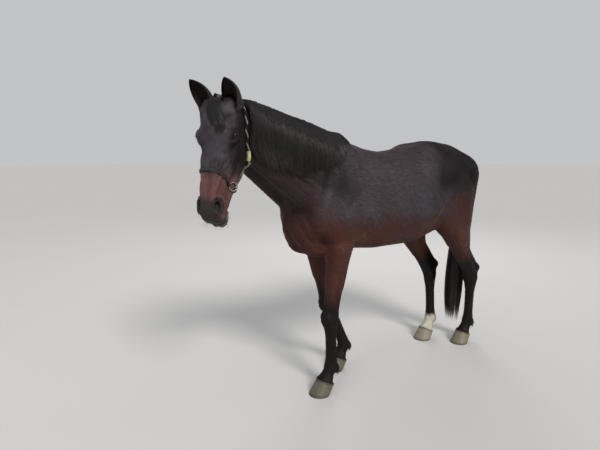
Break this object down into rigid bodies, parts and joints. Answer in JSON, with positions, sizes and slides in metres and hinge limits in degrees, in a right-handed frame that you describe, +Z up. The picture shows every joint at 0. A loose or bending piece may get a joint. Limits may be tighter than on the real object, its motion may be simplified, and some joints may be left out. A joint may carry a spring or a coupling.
{
  "type": "standing bay horse in a halter",
  "caption": "Life-size still model of a dark bay horse standing square with its head turned to its left, mane on the near side, wearing a plain halter.",
  "frame": {"origin": "on the floor under the middle of the model's box", "axes": "+Z up; the horse's trunk faces -Y and its left side is +X; its head is turned 28 degrees to its left"},
  "size_m": [0.5892, 2.3065, 1.8048],
  "materials": {
    "coat": "short winter coat, dark bay, near black along the back and reddish brown on the breast, elbows and flanks",
    "points": "short black hair of the legs and ears",
    "hair": "long straight black hair, semi-gloss",
    "horn": "grey-tan horn with faint growth rings",
    "eye": "wet dark brown",
    "webbing": "dark woven strap",
    "metal": "worn steel rings"
  },
  "bodies": {
    "root": {"head": "coat", "neck": "coat", "trunk": "coat", "leg_fore_left": "points", "leg_fore_right": "points", "leg_hind_left": "points", "leg_hind_right": "points", "ear_left": "points", "ear_right": "points", "mane": "hair", "forelock": "hair", "tail": "hair", "hoof_fore_left": "horn", "hoof_fore_right": "horn", "hoof_hind_left": "horn", "hoof_hind_right": "horn", "eye_left": "eye", "eye_right": "eye", "halter_noseband": "webbing", "halter_chin_strap": "webbing", "halter_cheek_strap_left": "webbing", "halter_cheek_strap_right": "webbing", "halter_crown_strap": "webbing", "halter_throat_strap": "webbing", "halter_cheek_ring_left": "metal", "halter_cheek_ring_right": "metal", "halter_throat_ring_left": "metal", "halter_throat_ring_right": "metal"}
  },
  "joints": []
}
